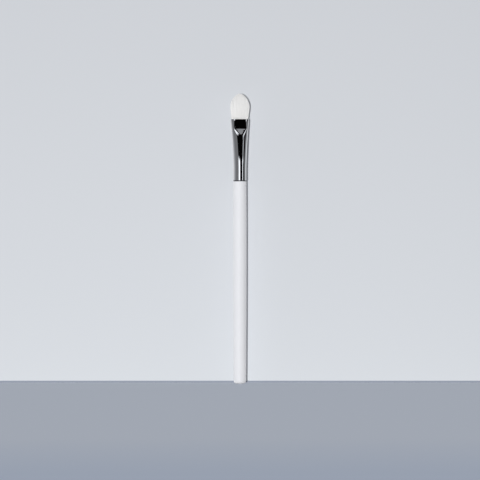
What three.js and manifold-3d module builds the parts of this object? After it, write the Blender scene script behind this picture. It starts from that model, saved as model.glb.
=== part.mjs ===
// Flat concealer brush: a lacquered wooden handle, a plated metal ferrule that is round at its base and
// pressed flat at its mouth, and a flat tuft of synthetic filaments set in resin inside the ferrule.
// Millimetres, +Z up. The origin is the centre of the handle's end face, and the tuft's flat faces -Y.
import * as THREE from "three";
import { mergeGeometries, mergeVertices } from "three/addons/utils/BufferGeometryUtils.js";
import Module from "manifold-3d";

const wasm = await Module();
wasm.setup();

// Handle: a turned rod with a slight belly, a rounded end and a tenon for the ferrule
const HANDLE_LENGTH = 118.6; // end face to shoulder
const HANDLE_END_DIAMETER = 7.3;
const HANDLE_BELLY_DIAMETER = 7.9;
const HANDLE_BELLY_HEIGHT = 80;
const HANDLE_STEP = 0.2; // by which the shoulder stands proud of the ferrule, all round
const HANDLE_END_ROUND = 1.7;
const HANDLE_SHOULDER_ROUND = 0.25;
const TENON_LENGTH = 13;
const TENON_CHAMFER = 0.8;

// Ferrule: a thin drawn tube, flared from a round base to an oval mouth and pressed flat near the mouth
const FERRULE_LENGTH = 36.3;
const FERRULE_BASE_DIAMETER = 7.2;
const FERRULE_WALL = 0.35;
const FERRULE_COLLAR = 6; // straight round length at the base
const FERRULE_SEAM = 0.1; // between the handle's shoulder and the ferrule's base
const FLARE_POWER = 1.6; // above 1, so that the flare starts gently
const MOUTH_WIDTH = 10.2;
const MOUTH_OVAL = 4; // thickness of the oval mouth before it is pressed
const MOUTH_THICKNESS = 3.4; // thickness between the two pressed flats
const PRESS_BAND = 5.7; // height of the pressed flats, down from the mouth
const PRESS_SHOULDER = 21; // slope in degrees from the flats out to the round of the tube
const PRESS_CREASE = 0.5; // softness of the edge where flat and round meet

// Adhesive between tenon and ferrule
const GLUE_FILM = 0.25;
const GLUE_FIT = 0.05; // clearance on each side of the film
const GLUE_START = 0.6; // above the ferrule's base
const GLUE_END = 1.5; // below the top of the tenon

// Resin that holds the filaments' roots inside the ferrule
const RESIN_DEPTH = 6; // top of the resin below the mouth
const RESIN_SLICE = 1.3; // top layer, which carries the filaments
const RESIN_PLUG = 6; // the rest of the plug, below that layer
const RESIN_FIT = 0.25; // clearance to the ferrule's wall

// Tuft: rows of tapered filaments, spread to a belly above the mouth and cut to a rounded tip
const TUFT_LENGTH = 15; // beyond the mouth
const TUFT_FIT = 0.12; // clearance to the ferrule's wall at the mouth
const TUFT_BULGE = 0.65; // by which the belly stands out past the ferrule's mouth on each side
const TUFT_SWELL = 0.4; // by which each flat of the tuft swells from the mouth to the belly
const TUFT_BELLY_HEIGHT = 6.8; // above the mouth
const TUFT_SIDE_RISE = 1.2; // from the belly up to the tips of the outermost filaments
const TUFT_CLOSING = 1.3; // by which each side would draw in from the belly to the tip's height
const TUFT_TIP_THICKNESS = 0.9;
const TUFT_DOME_POWER = 2.3; // 2 is an ellipse, and more is a fuller dome
const TUFT_CORNER_POWER = 2.5; // roundness of the bundle's section, in the same way
const FILAMENT_DIAMETER = 0.14;
const FILAMENT_GAP = 0.03; // between neighbours in a row, at the root
const FILAMENT_ROW_GAP = 0.1; // between rows, at the root
const FILAMENT_SIDES = 3;
const FILAMENT_SINK = 0.4; // length of each root inside the resin
const FILAMENT_TAPER = 0.7; // share of the free length after which a filament draws to its point
const TUFT_LAYERS = 3;

// Fineness of the curved faces
const ROUND_STEPS = 40;
const PROFILE_STEPS = 4;
const FERRULE_STEPS = 18;
const LEAST_STEP = 0.005; // points of a turned profile that lie closer than this are one point

// Places and sizes that follow from the ones above
const neckRadius = FERRULE_BASE_DIAMETER / 2 + HANDLE_STEP;
const tenonTop = HANDLE_LENGTH + TENON_LENGTH;
const ferruleBase = HANDLE_LENGTH + FERRULE_SEAM;
const glueTop = TENON_LENGTH - FERRULE_SEAM - GLUE_END;
const pressStart = FERRULE_LENGTH - PRESS_BAND;
const resinTop = FERRULE_LENGTH - RESIN_DEPTH;
const sliceBottom = resinTop - RESIN_SLICE;
const plugBottom = sliceBottom - RESIN_PLUG;
const filamentRadius = FILAMENT_DIAMETER / 2;

const lerp = THREE.MathUtils.lerp;

const materials = {
  lacquer: new THREE.MeshStandardMaterial({ color: 0xededf0, roughness: 0.3, metalness: 0 }),
  plating: new THREE.MeshStandardMaterial({ color: 0x8f9194, roughness: 0.12, metalness: 1 }),
  adhesive: new THREE.MeshStandardMaterial({ color: 0xd9cfae, roughness: 0.5, metalness: 0 }),
  resin: new THREE.MeshStandardMaterial({ color: 0xc9b98a, roughness: 0.35, metalness: 0 }),
  filament: new THREE.MeshStandardMaterial({ color: 0xf0eeec, roughness: 0.6, metalness: 0 }),
};

// Smaller of two lengths, with the corner between them rounded over a softness.
function softMin(a, b, softness) {
  const overlap = Math.max(softness - Math.abs(a - b), 0) / softness;
  return Math.min(a, b) - (overlap * overlap * softness) / 4;
}

// The ferrule's section at a height above its base, moved inwards by an inset. The tube keeps its girth
// as it widens, so its depth shrinks, and the dies then press whatever stands proud of their faces.
function ferruleSection(height, inset) {
  const baseRadius = FERRULE_BASE_DIAMETER / 2;
  const mouthGirth = Math.hypot(MOUTH_WIDTH / 2, MOUTH_OVAL / 2) / Math.SQRT2;
  const along = (height - FERRULE_COLLAR) / (FERRULE_LENGTH - FERRULE_COLLAR);
  const flare = THREE.MathUtils.clamp(along, 0, 1);
  const girth = lerp(baseRadius, mouthGirth, flare);
  const halfWidth = lerp(baseRadius, MOUTH_WIDTH / 2, flare ** FLARE_POWER);
  const halfDepth = Math.sqrt(2 * girth ** 2 - halfWidth ** 2);
  const slope = Math.tan(THREE.MathUtils.degToRad(PRESS_SHOULDER));
  const die = MOUTH_THICKNESS / 2 + slope * Math.max(pressStart - height, 0);
  return {
    halfWidth: halfWidth - inset,
    halfDepth: softMin(halfDepth, die, PRESS_CREASE) - inset,
    ovalDepth: halfDepth - inset,
    die: die - inset,
  };
}

// The points of that section, counter-clockwise seen from above.
function ferruleRing(height, inset) {
  const { halfWidth, ovalDepth, die } = ferruleSection(height, inset);
  return Array.from({ length: ROUND_STEPS }, (_, k) => {
    const angle = (2 * Math.PI * k) / ROUND_STEPS;
    const depth = softMin(ovalDepth * Math.abs(Math.sin(angle)), die, PRESS_CREASE);
    return new THREE.Vector3(halfWidth * Math.cos(angle), depth * Math.sign(Math.sin(angle)), height);
  });
}

// Heights of the ferrule's rings between two heights, both of which are included.
function ferruleHeights(low, high) {
  const step = FERRULE_LENGTH / FERRULE_STEPS;
  const between = [pressStart];
  for (let height = step; height < FERRULE_LENGTH; height += step) between.push(height);
  const inside = between.filter((height) => height > low && height < high);
  return [low, ...inside.sort((a, b) => a - b), high];
}

// A closed skin over rings of equally many points, with a fan from a point over each end.
function closedSkin(rings, firstTip, lastTip) {
  const count = rings[0].length;
  const points = [...rings.flat(), firstTip, lastTip];
  const first = points.length - 2;
  const last = points.length - 1;
  const top = (rings.length - 1) * count;
  const faces = [];
  for (let k = 0; k < count; k++) {
    const next = (k + 1) % count;
    for (let base = 0; base < top; base += count) {
      faces.push(base + k, base + next, base + count + next);
      faces.push(base + k, base + count + next, base + count + k);
    }
    faces.push(first, next, k, last, top + k, top + next);
  }
  return new THREE.BufferGeometry().setFromPoints(points).setIndex(faces);
}

// A closed skin over rings that run up the outside of a tube and down its inside.
function tubeSkin(rings) {
  const count = rings[0].length;
  const total = rings.length * count;
  const faces = [];
  for (let base = 0; base < total; base += count) {
    const above = (base + count) % total;
    for (let k = 0; k < count; k++) {
      const next = (k + 1) % count;
      faces.push(base + k, base + next, above + next, base + k, above + next, above + k);
    }
  }
  return new THREE.BufferGeometry().setFromPoints(rings.flat()).setIndex(faces);
}

// A solid that fills the ferrule between two heights, clear of its wall.
function ferruleFilling(low, high) {
  const rings = ferruleHeights(low, high).map((height) => ferruleRing(height, FERRULE_WALL + RESIN_FIT));
  return closedSkin(rings, new THREE.Vector3(0, 0, low), new THREE.Vector3(0, 0, high));
}

// Radius of the glued joint's bore: the tube's narrowest inside over the length of the film.
function boreRadius() {
  const top = ferruleSection(glueTop, FERRULE_WALL);
  return Math.min(FERRULE_BASE_DIAMETER / 2 - FERRULE_WALL, top.halfWidth, top.halfDepth);
}

const glueOuter = boreRadius() - GLUE_FIT;
const glueInner = glueOuter - GLUE_FILM;
const tenonRadius = glueInner - GLUE_FIT;

// A solid of revolution about +Z from a profile of radius and height.
function turned(path) {
  const points = path.getPoints(PROFILE_STEPS);
  const apart = points.filter((p, k) => k === 0 || p.distanceTo(points[k - 1]) > LEAST_STEP);
  return new THREE.LatheGeometry(apart, ROUND_STEPS).rotateX(Math.PI / 2);
}

function handleGeometry() {
  const end = HANDLE_END_DIAMETER / 2;
  const belly = HANDLE_BELLY_DIAMETER / 2;
  const shoulder = HANDLE_LENGTH - HANDLE_SHOULDER_ROUND;
  const lowerMiddle = lerp(HANDLE_END_ROUND, HANDLE_BELLY_HEIGHT, 0.5);
  const upperMiddle = lerp(HANDLE_BELLY_HEIGHT, shoulder, 0.5);
  const path = new THREE.Path();
  path.moveTo(0, 0);
  path.lineTo(end - HANDLE_END_ROUND, 0);
  path.absarc(end - HANDLE_END_ROUND, HANDLE_END_ROUND, HANDLE_END_ROUND, -Math.PI / 2, 0);
  path.quadraticCurveTo(belly, lowerMiddle, belly, HANDLE_BELLY_HEIGHT);
  path.quadraticCurveTo(belly, upperMiddle, neckRadius, shoulder);
  path.absarc(neckRadius - HANDLE_SHOULDER_ROUND, shoulder, HANDLE_SHOULDER_ROUND, 0, Math.PI / 2);
  path.lineTo(tenonRadius, HANDLE_LENGTH);
  path.lineTo(tenonRadius, tenonTop - TENON_CHAMFER);
  path.lineTo(tenonRadius - TENON_CHAMFER, tenonTop);
  path.lineTo(0, tenonTop);
  return turned(path);
}

function ferruleGeometry() {
  const heights = ferruleHeights(0, FERRULE_LENGTH);
  const outside = heights.map((height) => ferruleRing(height, 0));
  const inside = heights.map((height) => ferruleRing(height, FERRULE_WALL));
  return tubeSkin([...outside, ...inside.reverse()]);
}

function glueGeometry() {
  const path = new THREE.Path();
  path.moveTo(glueInner, GLUE_START);
  path.lineTo(glueOuter, GLUE_START);
  path.lineTo(glueOuter, glueTop);
  path.lineTo(glueInner, glueTop);
  path.lineTo(glueInner, GLUE_START);
  return turned(path);
}

const root = ferruleSection(resinTop, FERRULE_WALL + RESIN_FIT + filamentRadius);
const mouth = ferruleSection(FERRULE_LENGTH, FERRULE_WALL + TUFT_FIT + filamentRadius);
const belly = {
  halfWidth: MOUTH_WIDTH / 2 + TUFT_BULGE - filamentRadius,
  halfDepth: mouth.halfDepth + TUFT_SWELL,
};
const tip = { halfWidth: belly.halfWidth - TUFT_CLOSING, halfDepth: TUFT_TIP_THICKNESS / 2 };

// Half width and half thickness of the bundle at a height above the mouth: it swells out to the belly,
// then draws in towards the tip.
function bundleSpread(height) {
  const rising = height < TUFT_BELLY_HEIGHT;
  const far = rising ? mouth : tip;
  const span = rising ? -TUFT_BELLY_HEIGHT : TUFT_LENGTH - TUFT_BELLY_HEIGHT;
  const share = ((height - TUFT_BELLY_HEIGHT) / span) ** 2;
  return {
    halfWidth: lerp(belly.halfWidth, far.halfWidth, share),
    halfDepth: lerp(belly.halfDepth, far.halfDepth, share),
  };
}

// Filaments in rows through the thickness, staggered from row to row, inside a rounded section.
// u runs across the width and v through the thickness, each from -1 to 1.
function filamentPlaces() {
  const columns = Math.floor((2 * root.halfWidth) / (FILAMENT_DIAMETER + FILAMENT_GAP)) + 1;
  const rows = Math.floor((2 * root.halfDepth) / (FILAMENT_DIAMETER + FILAMENT_ROW_GAP));
  const layerRows = Math.floor(rows / TUFT_LAYERS);
  const places = [];
  for (let row = 0; row < layerRows * TUFT_LAYERS; row++) {
    const v = (2 * row + 1) / (layerRows * TUFT_LAYERS) - 1;
    const layer = Math.floor(row / layerRows);
    const odd = row % 2;
    for (let column = 0; column < columns - odd; column++) {
      const u = (2 * column + odd) / (columns - 1) - 1;
      const reach = Math.abs(u) ** TUFT_CORNER_POWER + Math.abs(v) ** TUFT_CORNER_POWER;
      if (reach <= 1) places.push({ layer, odd, u, v });
    }
  }
  return places;
}

// One filament, from inside the resin through the mouth to its point on the rounded tip.
function filamentGeometry({ odd, u, v }) {
  const dome = (1 - Math.abs(u) ** TUFT_DOME_POWER) ** (1 / TUFT_DOME_POWER);
  const free = lerp(TUFT_BELLY_HEIGHT + TUFT_SIDE_RISE, TUFT_LENGTH, dome);
  const centre = (spread, height) => new THREE.Vector3(u * spread.halfWidth, v * spread.halfDepth, height);
  const ring = (middle) =>
    Array.from({ length: FILAMENT_SIDES }, (_, k) => {
      const angle = odd * Math.PI + (2 * Math.PI * k) / FILAMENT_SIDES + Math.PI / 2;
      const offset = new THREE.Vector3(Math.cos(angle), Math.sin(angle), 0);
      return offset.multiplyScalar(filamentRadius).add(middle);
    });
  const heel = centre(root, resinTop - FILAMENT_SINK);
  const point = centre(bundleSpread(free), FERRULE_LENGTH + free);
  const taperStart = FILAMENT_TAPER * free;
  const stations = [
    heel,
    centre(root, resinTop),
    centre(mouth, FERRULE_LENGTH),
    centre(bundleSpread(taperStart), FERRULE_LENGTH + taperStart),
  ];
  return closedSkin(stations.map(ring), heel, point);
}

function solidOf(geometry) {
  const bare = geometry.clone();
  bare.deleteAttribute("normal");
  bare.deleteAttribute("uv");
  const merged = mergeVertices(bare);
  return new wasm.Manifold(
    new wasm.Mesh({
      numProp: 3,
      vertProperties: merged.getAttribute("position").array,
      triVerts: new Uint32Array(merged.index.array),
    }),
  );
}

function geometryOf(solid) {
  const { vertProperties, triVerts } = solid.getMesh();
  return new THREE.BufferGeometry()
    .setAttribute("position", new THREE.BufferAttribute(vertProperties, 3))
    .setIndex(new THREE.BufferAttribute(triVerts, 1));
}

// One layer of the tuft: its share of the rows, fused to the slice of resin that they are set in.
// Outer layers reach past the wall, where the slice ends them.
function tuftLayer(layer) {
  const cut = (face) => ((2 * face) / TUFT_LAYERS - 1) * root.halfDepth;
  const front = layer === 0 ? -FERRULE_BASE_DIAMETER : cut(layer);
  const back = layer === TUFT_LAYERS - 1 ? FERRULE_BASE_DIAMETER : cut(layer + 1);
  const slab = new THREE.BoxGeometry(2 * MOUTH_WIDTH, back - front, 2 * FERRULE_LENGTH);
  slab.translate(0, (front + back) / 2, 0);
  const slice = solidOf(ferruleFilling(sliceBottom, resinTop)).intersect(solidOf(slab));
  const places = filamentPlaces().filter((place) => place.layer === layer);
  return geometryOf(slice.add(solidOf(mergeGeometries(places.map(filamentGeometry)))));
}

function piece(name, geometry, material) {
  const mesh = new THREE.Mesh(geometry, material);
  mesh.name = name;
  return mesh;
}

const brush = new THREE.Group();
brush.add(piece("handle", handleGeometry(), materials.lacquer));

const head = new THREE.Group();
head.position.z = ferruleBase;
head.add(piece("ferrule", ferruleGeometry(), materials.plating));
head.add(piece("tenon_glue", glueGeometry(), materials.adhesive));
head.add(piece("root_plug", ferruleFilling(plugBottom, sliceBottom), materials.resin));
["tuft_front", "tuft_core", "tuft_back"].forEach((name, layer) => {
  head.add(piece(name, tuftLayer(layer), materials.filament));
});
brush.add(head);

export default brush;
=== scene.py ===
import math

import bpy
import numpy as np
from mathutils import Matrix, Vector


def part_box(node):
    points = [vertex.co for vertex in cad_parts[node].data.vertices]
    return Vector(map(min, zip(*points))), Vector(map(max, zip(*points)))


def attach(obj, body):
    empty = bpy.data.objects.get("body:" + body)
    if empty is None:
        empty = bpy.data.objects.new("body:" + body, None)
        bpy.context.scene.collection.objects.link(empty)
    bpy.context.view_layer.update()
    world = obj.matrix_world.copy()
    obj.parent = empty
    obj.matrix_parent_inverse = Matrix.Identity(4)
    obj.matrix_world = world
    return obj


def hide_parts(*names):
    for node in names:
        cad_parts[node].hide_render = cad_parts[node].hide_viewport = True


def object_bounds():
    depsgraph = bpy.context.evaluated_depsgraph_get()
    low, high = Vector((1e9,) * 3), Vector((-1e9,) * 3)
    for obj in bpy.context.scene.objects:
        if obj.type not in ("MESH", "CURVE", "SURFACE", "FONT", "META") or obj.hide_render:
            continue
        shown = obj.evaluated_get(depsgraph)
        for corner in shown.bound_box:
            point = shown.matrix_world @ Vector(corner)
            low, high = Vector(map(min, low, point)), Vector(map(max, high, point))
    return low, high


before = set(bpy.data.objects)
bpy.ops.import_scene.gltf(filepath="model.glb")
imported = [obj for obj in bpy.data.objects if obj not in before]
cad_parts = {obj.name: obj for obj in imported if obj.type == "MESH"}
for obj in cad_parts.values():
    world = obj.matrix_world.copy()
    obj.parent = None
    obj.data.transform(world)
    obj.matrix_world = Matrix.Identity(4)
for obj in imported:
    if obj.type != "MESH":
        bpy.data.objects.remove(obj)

cad_low, cad_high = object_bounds()


# Handle: a birch rod turned on a lathe, with a slight belly, a rounded end and a thin tenon at the top.
# It is sanded, dipped in white lacquer and cured. The tenon is glued into the ferrule, and the shoulder
# below it meets the ferrule's base.
MM = 0.001
ferrule_low, ferrule_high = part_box("ferrule")
_, glue_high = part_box("tenon_glue")
handle_low, handle_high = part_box("handle")

base_radius = ferrule_high.y
seam = 0.1 * MM
shoulder_height = ferrule_low.z - seam
end_radius = 3.65 * MM
end_round = 1.7 * MM
belly_radius = handle_high.x
belly_height = 80 * MM
neck_radius = base_radius + 0.2 * MM
shoulder_round = 0.25 * MM
glue_film = 0.3 * MM
tenon_radius = glue_high.x - glue_film
tenon_chamfer = 0.8 * MM
handle_sides = 96


def quarter_round(radius, centre_radius, centre_height, start, steps=8):
    """Points of a quarter circle in a profile of radii and heights, from a start angle in degrees."""
    angles = [math.radians(start + 90 * k / steps) for k in range(steps + 1)]
    return [(centre_radius + radius * math.cos(a), centre_height + radius * math.sin(a)) for a in angles]


def belly_curve(steps=20):
    """Points of the handle's side, which swells from the end to the belly and narrows to the neck."""
    top = shoulder_height - shoulder_round
    shares = [k / steps for k in range(1, steps)]
    rising = [
        (
            belly_radius - (belly_radius - end_radius) * (1 - t) ** 2,
            end_round + t * (belly_height - end_round),
        )
        for t in shares
    ]
    falling = [
        (
            belly_radius - (belly_radius - neck_radius) * t**2,
            belly_height + t * (top - belly_height),
        )
        for t in shares
    ]
    return [*rising, (belly_radius, belly_height), *falling]


handle_profile = [
    (0, handle_low.z),
    *quarter_round(end_round, end_radius - end_round, end_round, -90),
    *belly_curve(),
    *quarter_round(shoulder_round, neck_radius - shoulder_round, shoulder_height - shoulder_round, 0),
    (tenon_radius, shoulder_height),
    (tenon_radius, handle_high.z - tenon_chamfer),
    (tenon_radius - tenon_chamfer, handle_high.z),
    (0, handle_high.z),
]

bpy.ops.object.select_all(action="DESELECT")
bpy.ops.mesh.primitive_plane_add(size=MM)
handle = bpy.context.object
handle.name = "lacquered_handle"
bpy.ops.object.mode_set(mode="EDIT")
bpy.ops.mesh.select_all(action="SELECT")
bpy.ops.mesh.merge(type="CENTER")
for (radius, height), (next_radius, next_height) in zip(handle_profile, handle_profile[1:]):
    step = (next_radius - radius, 0, next_height - height)
    bpy.ops.mesh.extrude_vertices_move(TRANSFORM_OT_translate={"value": step})
bpy.ops.mesh.select_all(action="SELECT")
bpy.ops.mesh.spin(steps=handle_sides, angle=2 * math.pi, center=(0, 0, 0), axis=(0, 0, 1))
bpy.ops.mesh.select_all(action="SELECT")
bpy.ops.mesh.remove_doubles(threshold=MM / 1000)
bpy.ops.mesh.normals_make_consistent(inside=False)
bpy.ops.object.mode_set(mode="OBJECT")
bpy.ops.object.shade_smooth_by_angle(angle=math.radians(40))


def linear(hex_colour):
    """An sRGB hex colour as linear red, green, blue and alpha."""
    parts = [int(hex_colour[k : k + 2], 16) / 255 for k in (1, 3, 5)]
    return (*[p / 12.92 if p <= 0.04045 else ((p + 0.055) / 1.055) ** 2.4 for p in parts], 1)


def add_node(tree, kind, inputs=(), **settings):
    """Adds a node with its settings, and with a value or a link for each input named or numbered."""
    made = tree.nodes.new(kind)
    for name, value in settings.items():
        setattr(made, name, value)
    for name, value in dict(inputs).items():
        if isinstance(value, bpy.types.NodeSocket):
            tree.links.new(value, made.inputs[name])
        else:
            made.inputs[name].default_value = value
    return made


def new_material(name):
    """A material with its node tree and its shader."""
    material = bpy.data.materials.new(name)
    material.use_nodes = True
    return material, material.node_tree, material.node_tree.nodes["Principled BSDF"]


# White nitrocellulose lacquer, dipped and cured over sanded birch: a satin skin with a soft sheen, a faint
# orange peel and long grain lines that just show through it. Its white drifts slightly along the rod.
peel_size = 1.5 * MM
grain_width = 0.6 * MM
grain_length = 16 * MM
drift_size = 18 * MM
lacquer, tree, shader = new_material("white lacquer on birch")
place = add_node(tree, "ShaderNodeTexCoord").outputs["Object"]
peel = add_node(tree, "ShaderNodeTexNoise", {"Vector": place, "Scale": 1 / peel_size, "Detail": 1.0})
grain_scale = (1 / grain_width, 1 / grain_width, 1 / grain_length)
grain_place = add_node(tree, "ShaderNodeMapping", {"Vector": place, "Scale": grain_scale}).outputs[0]
grain = add_node(tree, "ShaderNodeTexNoise", {"Vector": grain_place, "Scale": 1.0, "Detail": 3.0})
drift = add_node(tree, "ShaderNodeTexNoise", {"Vector": place, "Scale": 1 / drift_size, "Detail": 2.0})
tint = add_node(
    tree,
    "ShaderNodeMix",
    {0: drift.outputs[0], 6: linear("#ECEDF1"), 7: linear("#E7E8EC")},
    data_type="RGBA",
)
sheen = add_node(
    tree,
    "ShaderNodeMapRange",
    {"Value": peel.outputs[0], "From Min": 0.3, "From Max": 0.7, "To Min": 0.34, "To Max": 0.44},
)
peel_bump = add_node(
    tree, "ShaderNodeBump", {"Height": peel.outputs[0], "Strength": 0.15, "Distance": 0.03 * MM}
)
grain_bump = add_node(
    tree,
    "ShaderNodeBump",
    {"Height": grain.outputs[0], "Strength": 0.1, "Distance": 0.02 * MM, "Normal": peel_bump.outputs[0]},
)
tree.links.new(tint.outputs[2], shader.inputs["Base Color"])
tree.links.new(sheen.outputs[0], shader.inputs["Roughness"])
tree.links.new(grain_bump.outputs[0], shader.inputs["Normal"])
shader.inputs["IOR"].default_value = 1.5

handle.data.materials.append(lacquer)
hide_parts("handle")
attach(handle, "root")


# Glue: a thin film of white wood adhesive round the tenon, which squeezes up as the ferrule is pushed on.
# It stays hidden inside the ferrule.
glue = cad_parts["tenon_glue"]

# White wood adhesive, dried in place: a hard, slightly yellow skin, mottled and pitted by small bubbles.
bubble_size = 0.4 * MM
mottle_size = 2 * MM
adhesive, tree, shader = new_material("dried wood adhesive")
place = add_node(tree, "ShaderNodeTexCoord").outputs["Object"]
bubbles = add_node(tree, "ShaderNodeTexVoronoi", {"Vector": place, "Scale": 1 / bubble_size})
mottle = add_node(tree, "ShaderNodeTexNoise", {"Vector": place, "Scale": 1 / mottle_size, "Detail": 2.0})
tint = add_node(
    tree,
    "ShaderNodeMix",
    {0: mottle.outputs[0], 6: linear("#DFD6B8"), 7: linear("#CBBE96")},
    data_type="RGBA",
)
pits = add_node(
    tree, "ShaderNodeBump", {"Height": bubbles.outputs[0], "Strength": 0.4, "Distance": 0.05 * MM}
)
tree.links.new(tint.outputs[2], shader.inputs["Base Color"])
tree.links.new(pits.outputs[0], shader.inputs["Normal"])
shader.inputs["Roughness"].default_value = 0.45
shader.inputs["IOR"].default_value = 1.47
glue.data.materials.clear()
glue.data.materials.append(adhesive)


# Ferrule: a thin brass tube drawn without a seam, rolled in at its base edge and flared on a mandrel from a
# round base to an oval mouth. Two dies then press its front and back flat below the mouth, which leaves a
# sloping shoulder under each flat. It is polished and plated with dark bright nickel.
ferrule_length = ferrule_high.z - ferrule_low.z
mouth_half_width = ferrule_high.x
mouth_half_oval = 2.0 * MM
mouth_half_thickness = 1.7 * MM
wall = 0.35 * MM
base_roll = 0.85 * MM
roll_height = base_roll * math.sin(math.radians(45))
dull_shaded_edge = 0.6 * MM
collar = 6 * MM
flare_power = 1.6
press_start = ferrule_length - 5.7 * MM
press_slope = math.tan(math.radians(21))
press_crease = 0.3 * MM
press_crown = 0.013 / MM
crown_rise = 0.8 * MM
shoulder_start = ferrule_length - 13 * MM
lip_round = 0.12 * MM
tube_sides = 144
roll_rings = 6
body_rings = 30
shoulder_rings = 72


def tube_half_sizes(height):
    """Half width and half depth of the unpressed oval tube: it keeps its girth as it widens."""
    flare = min(max((height - collar) / (ferrule_length - collar), 0), 1)
    mouth_girth = math.hypot(mouth_half_width, mouth_half_oval) / math.sqrt(2)
    girth = base_radius + flare * (mouth_girth - base_radius)
    half_width = base_radius + flare**flare_power * (mouth_half_width - base_radius)
    half_depth = math.sqrt(2 * girth**2 - half_width**2)
    rolled = base_roll - math.sqrt(base_roll**2 - max(roll_height - height, 0) ** 2)
    return half_width - rolled, half_depth - rolled


def pressed(depths, sides, heights, inset):
    """Depths from the middle plane after pressing: a flat, a crowned shoulder below it and soft creases."""
    below = np.clip(press_start - heights, 0, None)
    crown = press_crown * sides**2 * np.clip(below / crown_rise, 0, 1)
    die = mouth_half_thickness + press_slope * below - crown - inset
    overlap = np.clip(press_crease - np.abs(np.abs(depths) - die), 0, None) / press_crease
    return np.sign(depths) * (np.minimum(np.abs(depths), die) - overlap**2 * press_crease / 4)


def oval_tube(name, heights, inset=0):
    """An open tube in the ferrule's own form, through rings at heights above the ferrule's base."""
    bpy.ops.object.select_all(action="DESELECT")
    bpy.ops.mesh.primitive_circle_add(vertices=tube_sides, radius=MM)
    tube = bpy.context.object
    tube.name = name
    bpy.ops.object.mode_set(mode="EDIT")
    bpy.ops.mesh.select_all(action="SELECT")
    bpy.ops.transform.translate(value=(0, 0, heights[0]))
    size = (MM, MM)
    for below, height in zip([heights[0], *heights], heights):
        if height > below:
            bpy.ops.mesh.extrude_region_move(TRANSFORM_OT_translate={"value": (0, 0, height - below)})
        grown = [half - inset for half in tube_half_sizes(height)]
        ratio = (grown[0] / size[0], grown[1] / size[1], 1)
        bpy.ops.transform.resize(value=ratio, center_override=(0, 0, height))
        size = grown
    bpy.ops.object.mode_set(mode="OBJECT")
    points = np.zeros(3 * len(tube.data.vertices), np.float32)
    tube.data.vertices.foreach_get("co", points)
    points = points.reshape(-1, 3)
    points[:, 1] = pressed(points[:, 1], points[:, 0], points[:, 2], inset)
    points[:, 2] += ferrule_low.z
    tube.data.vertices.foreach_set("co", points.ravel())
    tube.data.update()
    return tube


tube_heights = [
    *np.linspace(0, roll_height, roll_rings, endpoint=False).tolist(),
    *np.linspace(roll_height, shoulder_start, body_rings, endpoint=False).tolist(),
    *np.linspace(shoulder_start, ferrule_length, shoulder_rings).tolist(),
]
ferrule = oval_tube("plated_ferrule", tube_heights)
bpy.ops.object.mode_set(mode="EDIT")
bpy.ops.mesh.select_all(action="SELECT")
bpy.ops.mesh.normals_make_consistent(inside=False)
bpy.ops.object.mode_set(mode="OBJECT")
thick = ferrule.modifiers.new("wall", "SOLIDIFY")
thick.thickness = wall
thick.offset = -1
bpy.ops.object.modifier_apply(modifier=thick.name)
eased = ferrule.modifiers.new("lip", "BEVEL")
eased.width = lip_round
eased.segments = 3
eased.limit_method = "ANGLE"
eased.angle_limit = math.radians(60)
bpy.ops.object.modifier_apply(modifier=eased.name)
bpy.ops.object.shade_smooth_by_angle(angle=math.radians(50))

# Dark bright nickel, electroplated over polished brass: a mirror with a smoky tone. The polishing leaves
# fine lines along the tube, drawn coarser than they are so that they show, which soften the reflections
# very slightly. The rolled base edge is left dull, and its colour there is darkened as painted shade for
# the seam above the handle.
line_width = 0.2 * MM
line_length = 40 * MM
haze_size = 5 * MM
dull_roughness = 0.4
plating, tree, shader = new_material("dark bright nickel plating")
place = add_node(tree, "ShaderNodeTexCoord").outputs["Object"]
line_scale = (1 / line_width, 1 / line_width, 1 / line_length)
line_place = add_node(tree, "ShaderNodeMapping", {"Vector": place, "Scale": line_scale}).outputs[0]
lines = add_node(tree, "ShaderNodeTexNoise", {"Vector": line_place, "Scale": 1.0, "Detail": 2.0})
haze = add_node(tree, "ShaderNodeTexNoise", {"Vector": place, "Scale": 1 / haze_size, "Detail": 3.0})
bright_tint = add_node(
    tree,
    "ShaderNodeMix",
    {0: haze.outputs[0], 6: linear("#A6A8AC"), 7: linear("#B0B1B4")},
    data_type="RGBA",
)
bright_polish = add_node(
    tree,
    "ShaderNodeMapRange",
    {"Value": lines.outputs[0], "From Min": 0.3, "From Max": 0.7, "To Min": 0.02, "To Max": 0.045},
)
height = add_node(tree, "ShaderNodeSeparateXYZ", {"Vector": place}).outputs["Z"]
# Painted shade: the base edge is dark in colour for the seam above the handle, and rough.
polished_and_unshaded = add_node(
    tree,
    "ShaderNodeMapRange",
    {"Value": height, "From Min": ferrule_low.z + dull_shaded_edge / 2, "From Max": ferrule_low.z + dull_shaded_edge},
)
tint = add_node(
    tree,
    "ShaderNodeMix",
    {0: polished_and_unshaded.outputs[0], 6: linear("#55565A"), 7: bright_tint.outputs[2]},
    data_type="RGBA",
)
polish = add_node(
    tree,
    "ShaderNodeMix",
    {0: polished_and_unshaded.outputs[0], 2: dull_roughness, 3: bright_polish.outputs[0]},
    data_type="FLOAT",
)
line_bump = add_node(
    tree, "ShaderNodeBump", {"Height": lines.outputs[0], "Strength": 0.01, "Distance": 0.01 * MM}
)
tree.links.new(tint.outputs[2], shader.inputs["Base Color"])
tree.links.new(polish.outputs[0], shader.inputs["Roughness"])
tree.links.new(line_bump.outputs[0], shader.inputs["Normal"])
shader.inputs["Metallic"].default_value = 1

ferrule.data.materials.append(plating)
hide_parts("ferrule")
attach(ferrule, "root")


# Root resin: two-part epoxy poured into the ferrule round the filaments' roots, where it sets hard. Its
# top layer carries the filaments, and it stays hidden inside the ferrule.
_, plug_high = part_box("root_plug")
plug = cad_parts["root_plug"]
resin_fit = 0.25 * MM
resin_depth = 6 * MM
resin_top = ferrule_length - resin_depth
resin_bottom = plug_high.z - ferrule_low.z
resin_rings = 8

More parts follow.
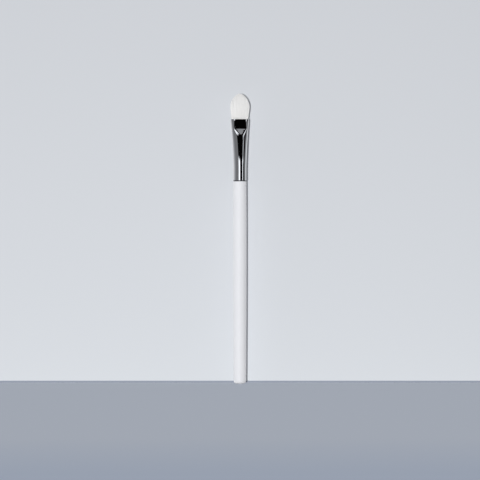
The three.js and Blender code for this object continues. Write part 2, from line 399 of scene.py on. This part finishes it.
resin_layer = oval_tube(
    "resin_top_layer", np.linspace(resin_bottom, resin_top, resin_rings).tolist(), wall + resin_fit
)
bpy.ops.object.mode_set(mode="EDIT")
bpy.ops.mesh.select_all(action="DESELECT")
bpy.ops.mesh.select_non_manifold()
bpy.ops.mesh.fill_holes(sides=0)
bpy.ops.mesh.select_all(action="SELECT")
bpy.ops.mesh.normals_make_consistent(inside=False)
bpy.ops.object.mode_set(mode="OBJECT")
bpy.ops.object.shade_smooth_by_angle(angle=math.radians(40))

# Cast epoxy, poured and cured without polishing: a glossy amber mass with soft streaks and a faint ripple.
streak_size = 1.5 * MM
resin, tree, shader = new_material("cast epoxy resin")
place = add_node(tree, "ShaderNodeTexCoord").outputs["Object"]
streaks = add_node(tree, "ShaderNodeTexNoise", {"Vector": place, "Scale": 1 / streak_size, "Detail": 2.0})
tint = add_node(
    tree,
    "ShaderNodeMix",
    {0: streaks.outputs[0], 6: linear("#D2C290"), 7: linear("#BBA770")},
    data_type="RGBA",
)
ripple = add_node(
    tree, "ShaderNodeBump", {"Height": streaks.outputs[0], "Strength": 0.2, "Distance": 0.05 * MM}
)
tree.links.new(tint.outputs[2], shader.inputs["Base Color"])
tree.links.new(ripple.outputs[0], shader.inputs["Normal"])
shader.inputs["Roughness"].default_value = 0.25
shader.inputs["IOR"].default_value = 1.55
plug.data.materials.clear()
plug.data.materials.append(resin)
resin_layer.data.materials.append(resin)
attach(resin_layer, "root")


# Tuft: thin tapered filaments of white PBT polyester, set in rows across the mouth. The ferrule holds the
# bundle flat, and it swells above the lip. Its tips are laid to a rounded end before the resin is cast.
_, tuft_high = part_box("tuft_core")
tuft_length = tuft_high.z - ferrule_high.z
filament_radius = 0.06 * MM
mouth_spread = (mouth_half_width - wall - filament_radius, mouth_half_thickness - wall - filament_radius)
lip_spread = (mouth_half_width - 0.05 * MM, mouth_half_thickness - 0.1 * MM)
belly_spread = (tuft_high.x - filament_radius, mouth_half_thickness)
tip_spread = (belly_spread[0] - 1.1 * MM, 0.35 * MM)
root_spread = [
    half - wall - resin_fit - filament_radius
    for half in (tube_half_sizes(resin_top)[0], float(pressed(np.array(base_radius), 0, resin_top, 0)))
]
spreads = tuple(zip(root_spread, mouth_spread, lip_spread, belly_spread, tip_spread))
lip_rise = 1.6 * MM
tuft_belly = 6.8 * MM
side_height = 7.2 * MM
dome_power = 2.15
corner_power = 2.6
row_count = 25
column_count = 124
row_stagger = 0.5
off_row = 0.7
outer_shorter = 0.9 * MM
uneven_ends = 0.3 * MM
stray_ends = 0.05 * MM
broad_sway = 0.1 * MM
fine_sway = 0.05 * MM
layer_names = ("tuft_front", "tuft_core", "tuft_back")


def bundle_spread(heights):
    """Half width and half thickness of the bundle at heights above the mouth."""
    sizes = []
    for root, mouth, lip, belly, tip in spreads:
        inside = mouth + (root - mouth) * np.clip(-heights / resin_depth, 0, 1)
        splayed = lip - (lip - mouth) * np.clip(1 - heights / lip_rise, 0, 1) ** 3
        rise = np.clip(heights / tuft_belly, 0, 1)
        swelling = splayed + (belly - lip) * (rise**2 * (3 - 2 * rise)) ** 2
        closing = np.clip((heights - tuft_belly) / (tuft_length - tuft_belly), 0, 1) ** 2
        sizes.append(np.where(heights < 0, inside, swelling - (belly - tip) * closing))
    return sizes


# One filament: four sides and a thin end. Its rings stand one unit apart, and each is moved to its place.
ring_shares = (0, 0.05, 0.16, 0.36, 0.6, 0.85, 1)
ring_sizes = (1, 1, 1, 1, 1, 1, 0.85, 0.35)
bpy.ops.object.select_all(action="DESELECT")
bpy.ops.mesh.primitive_circle_add(vertices=4, radius=1, fill_type="NGON")
strand = bpy.context.object
bpy.ops.object.mode_set(mode="EDIT")
bpy.ops.mesh.select_all(action="SELECT")
for ring in ring_shares:
    bpy.ops.mesh.extrude_region_move(TRANSFORM_OT_translate={"value": (0, 0, 1)})
bpy.ops.mesh.select_all(action="SELECT")
bpy.ops.mesh.normals_make_consistent(inside=False)
bpy.ops.object.mode_set(mode="OBJECT")
strand_points = np.array([v.co for v in strand.data.vertices])
strand_faces = [tuple(face.vertices) for face in strand.data.polygons]
strand_rings = np.rint(strand_points[:, 2]).astype(int)
bpy.data.objects.remove(strand)

# Places of the filaments in the bundle: u across the width and v through the thickness, from -1 to 1, in
# staggered rows, each place a little off its row.
shuffle = np.random.default_rng(11)
rows, columns = np.mgrid[0:row_count, 0:column_count]
u = (2 * columns + 1 + row_stagger * (rows % 2)) / column_count - 1
v = (2 * rows + 1) / row_count - 1
u = (u + shuffle.uniform(-off_row, off_row, u.shape) / column_count).ravel()
v = (v + shuffle.uniform(-off_row, off_row, v.shape) / row_count).ravel()
inside = np.abs(u) ** corner_power + np.abs(v) ** corner_power < 1
u, v = u[inside], v[inside]

# Free length of each filament: a rounded end, with the outer rows a little shorter than the middle ones.
dome = (1 - np.abs(u) ** dome_power) ** (1 / dome_power)
free = side_height + (tuft_length - side_height) * dome
free = free - outer_shorter * v**2 - shuffle.uniform(0, uneven_ends, u.shape)
turn = shuffle.uniform(0, math.pi, u.shape)
shade = shuffle.uniform(0, 1, u.shape)
stray = shuffle.normal(0, stray_ends, (2, *u.shape))

# The filaments are shared out over three layers. Towards their tips they sway in a broad and a fine wave
# across the bundle, which gather them into soft locks.
layers = np.clip(((v + 1) / 2 * len(layer_names)).astype(int), 0, len(layer_names) - 1)
tuft_pieces = []
for layer, layer_name in enumerate(layer_names):
    chosen = layers == layer
    cu, cv, cf = u[chosen, None], v[chosen, None], free[chosen, None]
    heights = np.hstack([np.full(cf.shape, -resin_depth), cf * np.array(ring_shares)])
    half_width, half_depth = bundle_spread(heights)
    loose = np.clip(heights / tuft_length, 0, 1) ** 1.5
    sway = broad_sway * np.sin(9 * cu + 5 * cv) + fine_sway * np.sin(31 * cu - 11 * cv)
    centre_x = cu * half_width + loose * (sway + stray[0][chosen, None])
    centre_y = cv * half_depth + loose * stray[1][chosen, None]
    angle = turn[chosen, None]
    size = filament_radius * np.array(ring_sizes)[strand_rings]
    across = strand_points[:, 0] * np.cos(angle) - strand_points[:, 1] * np.sin(angle)
    through = strand_points[:, 0] * np.sin(angle) + strand_points[:, 1] * np.cos(angle)
    points = np.stack(
        [
            centre_x[:, strand_rings] + size * across,
            centre_y[:, strand_rings] + size * through,
            ferrule_high.z + heights[:, strand_rings],
        ],
        axis=-1,
    )
    count = len(strand_points)
    faces = [tuple(k * count + c for c in face) for k in range(len(points)) for face in strand_faces]
    mesh = bpy.data.meshes.new(layer_name + "_filaments")
    mesh.from_pydata(points.reshape(-1, 3).tolist(), [], faces)
    mesh.shade_flat()
    tone = mesh.attributes.new("tone", "FLOAT", "POINT")
    tone.data.foreach_set("value", np.repeat(shade[chosen], count).astype(np.float32))
    filaments = bpy.data.objects.new(layer_name + "_filaments", mesh)
    bpy.context.scene.collection.objects.link(filaments)
    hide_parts(layer_name)
    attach(filaments, "root")
    tuft_pieces.append(filaments)

# White PBT filament, extruded with a dull surface and ground to a taper: a warm white that differs a
# little from one filament to the next. Its colour is a little darker from the belly down to the resin.
filament, tree, shader = new_material("white PBT filament")
place = add_node(tree, "ShaderNodeTexCoord").outputs["Object"]
each = add_node(tree, "ShaderNodeAttribute", attribute_name="tone").outputs["Fac"]
height = add_node(tree, "ShaderNodeSeparateXYZ", {"Vector": place}).outputs["Z"]
rise = add_node(
    tree,
    "ShaderNodeMapRange",
    {"Value": height, "From Min": ferrule_high.z - resin_depth, "From Max": ferrule_high.z + tuft_belly},
)
white = add_node(
    tree, "ShaderNodeMix", {0: each, 6: linear("#F6F5F5"), 7: linear("#F0F0EF")}, data_type="RGBA"
)
tint = add_node(
    tree,
    "ShaderNodeMix",
    {0: rise.outputs[0], 6: linear("#EAE9E8"), 7: white.outputs[2]},
    data_type="RGBA",
)
dullness = add_node(tree, "ShaderNodeMapRange", {"Value": each, "To Min": 0.45, "To Max": 0.6})
tree.links.new(tint.outputs[2], shader.inputs["Base Color"])
tree.links.new(dullness.outputs[0], shader.inputs["Roughness"])
shader.inputs["IOR"].default_value = 1.57
for filaments in tuft_pieces:
    filaments.data.materials.append(filament)


# Camera: level, at the height of the middle of the picture. The brush is turned a little on its own axis
# in the picture, so the camera stands to the left of square on. The frame is 480 pixels wide and high.
image_width = 480
brush_pixels = 289.8
brush_bottom_row = 383.5
brush_middle_column = 239.95
brush_turn = math.radians(9)
camera_distance = 1600 * MM
sensor_width = 36
pixel = (cad_high.z - cad_low.z) / brush_pixels
facing = Matrix.Rotation(-brush_turn, 3, "Z")
camera_side = (image_width / 2 - brush_middle_column) * pixel
camera_height = (brush_bottom_row - image_width / 2) * pixel
bpy.ops.object.camera_add(
    location=facing @ Vector((camera_side, -camera_distance, camera_height)),
    rotation=(math.pi / 2, 0, -brush_turn),
)
camera = bpy.context.object
camera.data.sensor_width = sensor_width
camera.data.lens = sensor_width * camera_distance / (image_width * pixel)
bpy.context.scene.camera = camera


# Set: a blue-grey table top and a paler panel close behind the brush, with a thin foot strip in the table's
# tone. Both are brushed with matt emulsion paint. Their tones fade as painted shade: the table darker
# towards the camera, and the panel darker upwards over its lowest part. Only the camera sees them, each
# from its front, and other light passes through them, so that the brush is lit from all sides.
set_size = 4000 * MM
table_front = -615 * MM
table_middle = -440 * MM
panel_gap = 14 * MM
panel_fade = 230 * MM
panel_bend = 0.55
foot_strip = 0.92 * MM


def stage_plane(name, place, turn, tones, span, bend=1.0, strip=0, strip_tone=None):
    """A large matt plane that fades from one tone to another along its length, with a strip at its foot."""
    bpy.ops.object.select_all(action="DESELECT")
    bpy.ops.mesh.primitive_plane_add(size=set_size, location=place, rotation=turn)
    plane = bpy.context.object
    plane.name = name
    paint, tree, shader = new_material(name + " paint")
    plane.data.materials.append(paint)
    where = add_node(tree, "ShaderNodeTexCoord").outputs["Object"]
    along = add_node(tree, "ShaderNodeSeparateXYZ", {"Vector": where}).outputs["Y"]
    share = add_node(
        tree, "ShaderNodeMapRange", {"Value": along, "From Min": span[0], "From Max": span[1]}
    )
    share = add_node(tree, "ShaderNodeMath", {0: share.outputs[0], 1: bend}, operation="POWER")
    tone = add_node(
        tree,
        "ShaderNodeMix",
        {0: share.outputs[0], 6: linear(tones[0]), 7: linear(tones[1])},
        data_type="RGBA",
    )
    if strip:
        foot = add_node(tree, "ShaderNodeMath", {0: along, 1: strip - set_size / 2}, operation="LESS_THAN")
        tone = add_node(
            tree,
            "ShaderNodeMix",
            {0: foot.outputs[0], 6: tone.outputs[2], 7: linear(strip_tone)},
            data_type="RGBA",
        )
    tree.links.new(tone.outputs[2], shader.inputs["Base Color"])
    shader.inputs["Roughness"].default_value = 0.9
    shader.inputs["Specular IOR Level"].default_value = 0
    seen = add_node(tree, "ShaderNodeLightPath").outputs["Is Camera Ray"]
    behind = add_node(tree, "ShaderNodeNewGeometry").outputs["Backfacing"]
    shown = add_node(tree, "ShaderNodeMath", {0: seen, 1: behind}, operation="GREATER_THAN").outputs[0]
    clear = add_node(tree, "ShaderNodeBsdfTransparent").outputs[0]
    choice = add_node(tree, "ShaderNodeMixShader", {0: shown, 1: clear, 2: shader.outputs[0]})
    tree.links.new(choice.outputs[0], tree.nodes["Material Output"].inputs["Surface"])
    return plane


# Painted shade on the table: its tone darkens towards the camera.
table = stage_plane(
    "table",
    (0, 0, 0),
    (0, 0, -brush_turn),
    ("#C8D2E3", "#D4DBE7"),
    (table_front, table_middle),
)
# Painted shade on the panel: its tone darkens upwards over its lowest part.
stage_plane(
    "panel",
    facing @ Vector((0, panel_gap, set_size / 2)),
    (math.pi / 2, 0, -brush_turn),
    ("#DFE3E8", "#D3D6DB"),
    (-set_size / 2, -set_size / 2 + panel_fade),
    panel_bend,
    foot_strip,
    "#9BA2B1",
)

# Round the set hangs a pale cotton curtain. It is a smooth sphere: its pale tone glows as painted light,
# and its wide soft drapes are painted light and shade in that tone. Only the camera sees it, and it throws
# no light of its own.
curtain_radius = 6000 * MM
fold_width = 700 * MM
fold_height = 6000 * MM
bpy.ops.object.select_all(action="DESELECT")
bpy.ops.mesh.primitive_uv_sphere_add(radius=curtain_radius)
curtain = bpy.context.object
curtain.name = "curtain"
cloth, tree, shader = new_material("pale curtain")
place = add_node(tree, "ShaderNodeTexCoord").outputs["Object"]
fold_scale = (1 / fold_width, 1 / fold_width, 1 / fold_height)
fold_place = add_node(tree, "ShaderNodeMapping", {"Vector": place, "Scale": fold_scale}).outputs[0]
# Painted light and shade of the drapes, glowing in the curtain's tone.
painted_fold_shade = add_node(tree, "ShaderNodeTexNoise", {"Vector": fold_place, "Scale": 1.0, "Detail": 1.0})
tint = add_node(
    tree,
    "ShaderNodeMix",
    {0: painted_fold_shade.outputs[0], 6: linear("#D9DDE2"), 7: linear("#D1D5DA")},
    data_type="RGBA",
)
tree.links.new(tint.outputs[2], shader.inputs["Emission Color"])
shader.inputs["Base Color"].default_value = linear("#000000")
shader.inputs["Emission Strength"].default_value = 1
curtain.data.materials.append(cloth)
cloth.cycles.emission_sampling = "NONE"
curtain.visible_diffuse = False
curtain.visible_glossy = False
curtain.visible_transmission = False
curtain.visible_shadow = False


# Light: one small lamp just in front of the camera and a little to its left, which throws a thin hard
# shadow on the panel and doesn't reach the table, in a soft room with broad lights round it. A white
# surface that faces the lamp gets the key's level from it.
key_distance = 1400 * MM
key_left = math.radians(3.35)
key_size = 3 * MM
key_level = 0.7
key_side = -key_distance * math.tan(key_left)
bpy.ops.object.light_add(type="POINT", location=facing @ Vector((key_side, -key_distance, camera_height)))
key = bpy.context.object
key.data.energy = key_level * math.pi * 4 * math.pi * key_distance**2
key.data.shadow_soft_size = key_size
key.visible_glossy = False
off_the_key = bpy.data.collections.new("off the key")
off_the_key.objects.link(table)
off_the_key.collection_objects[0].light_linking.link_state = "EXCLUDE"
key.light_linking.receiver_collection = off_the_key

studio = bpy.data.worlds.new("studio")
bpy.context.scene.world = studio
studio.use_nodes = True
tree = studio.node_tree
tree.nodes.clear()
direction = add_node(tree, "ShaderNodeTexCoord").outputs["Generated"]
towards = add_node(
    tree, "ShaderNodeVectorRotate", {"Vector": direction, "Angle": brush_turn}, rotation_type="Z_AXIS"
).outputs[0]
rays = add_node(tree, "ShaderNodeLightPath")

# What the matt surfaces see: an even grey room with broad lights on the left, behind, above and below. Each
# has its azimuth, measured to the right of the camera, and its elevation in degrees, the power of its fall
# to the sides, and its level. Light that has already bounced twice meets an even, brighter room.
room_level = 0.155
soft_lights = (
    (-92, 0, 6, 1.0),
    (-155, 0, 8, 1.6),
    (150, 0, 8, 2.2),
    (0, 90, 3, 0.65),
    (0, -90, 3, 0.5),
)
bounced_level = 0.4
bounce_limit = 1.5
soft_room = room_level
for side, rise, power, level in soft_lights:
    turned = Matrix.Rotation(math.radians(side), 3, "Z") @ Matrix.Rotation(math.radians(-rise), 3, "X")
    pointing = {0: towards, 1: turned @ Vector((0, -1, 0))}
    part = add_node(tree, "ShaderNodeVectorMath", pointing, operation="DOT_PRODUCT").outputs["Value"]
    part = add_node(tree, "ShaderNodeMath", {0: part, 1: 0.0}, operation="MAXIMUM").outputs[0]
    part = add_node(tree, "ShaderNodeMath", {0: part, 1: power}, operation="POWER").outputs[0]
    lit = {0: part, 1: level, 2: soft_room}
    soft_room = add_node(tree, "ShaderNodeMath", lit, operation="MULTIPLY_ADD").outputs[0]
bounces = {0: rays.outputs["Diffuse Depth"], 1: bounce_limit}
bounced = add_node(tree, "ShaderNodeMath", bounces, operation="GREATER_THAN").outputs[0]
soft_room = add_node(
    tree, "ShaderNodeMix", {0: bounced, 2: soft_room, 3: bounced_level}, data_type="FLOAT"
).outputs[0]

# What the polished metal mirrors: a dark room round the camera, with lit strips in it and pale walls
# behind. Each strip has its lowest and highest azimuth, measured to the right of the camera, its lowest
# and highest elevation and its soft edge, all in degrees, and its level.
dark_level = 0.003
lit_strips = (
    (-21, 2.2, -60, 2.8, 1, 2.6),
    (-25, -9, 10.3, 23, 1, 2.4),
    (-25, 5, 25, 50, 2, 2.4),
    (16, 26, 30, 60, 2, 0.55),
    (43, 52, -60, 2.6, 1, 2.3),
    (43, 56, 2.8, 6.5, 1, 0.75),
    (42, 58, 8.5, 40, 1.5, 1.7),
    (84, 104, -60, 60, 5, 0.52),
    (109, 140, -60, 60, 4, 1.45),
    (-74, -26, -60, 60, 3, 0.37),
    (-100, -78, -60, 60, 5, 0.6),
    (-175, -106, -60, 60, 6, 1.2),
    (-180, 180, 66, 90, 6, 1),
)
axes = add_node(tree, "ShaderNodeSeparateXYZ", {"Vector": towards})
ahead = add_node(tree, "ShaderNodeMath", {0: axes.outputs["Y"], 1: -1.0}, operation="MULTIPLY").outputs[0]
sides = {0: axes.outputs["X"], 1: ahead}
azimuth = add_node(tree, "ShaderNodeMath", sides, operation="ARCTAN2").outputs[0]
elevation = add_node(tree, "ShaderNodeMath", {0: axes.outputs["Z"]}, operation="ARCSINE").outputs[0]


def window(angle, low, high, edge):
    """1 where an angle lies between two angles in degrees, falling to 0 over a soft edge."""
    middle = math.radians((low + high) / 2)
    reach = math.radians((high - low) / 2)
    offset = add_node(tree, "ShaderNodeMath", {0: angle, 1: middle}, operation="SUBTRACT")
    apart = add_node(tree, "ShaderNodeMath", {0: offset.outputs[0]}, operation="ABSOLUTE")
    fall = {
        "Value": apart.outputs[0],
        "From Min": reach,
        "From Max": reach + math.radians(edge),
        "To Min": 1.0,
        "To Max": 0.0,
    }
    return add_node(tree, "ShaderNodeMapRange", fall, interpolation_type="SMOOTHSTEP").outputs[0]


mirrored = dark_level
for left, right, bottom, top, edge, level in lit_strips:
    across = window(azimuth, left, right, edge)
    up = window(elevation, bottom, top, edge)
    both = add_node(tree, "ShaderNodeMath", {0: across, 1: up}, operation="MULTIPLY").outputs[0]
    lit = {0: both, 1: level, 2: mirrored}
    mirrored = add_node(tree, "ShaderNodeMath", lit, operation="MULTIPLY_ADD").outputs[0]

shown = {0: rays.outputs["Is Glossy Ray"], 2: soft_room, 3: mirrored}
level = add_node(tree, "ShaderNodeMix", shown, data_type="FLOAT").outputs[0]
room = add_node(tree, "ShaderNodeBackground", {"Color": linear("#FCFDFF"), "Strength": level})
add_node(tree, "ShaderNodeOutputWorld", {"Surface": room.outputs[0]})

bpy.context.scene.view_settings.view_transform = "Standard"
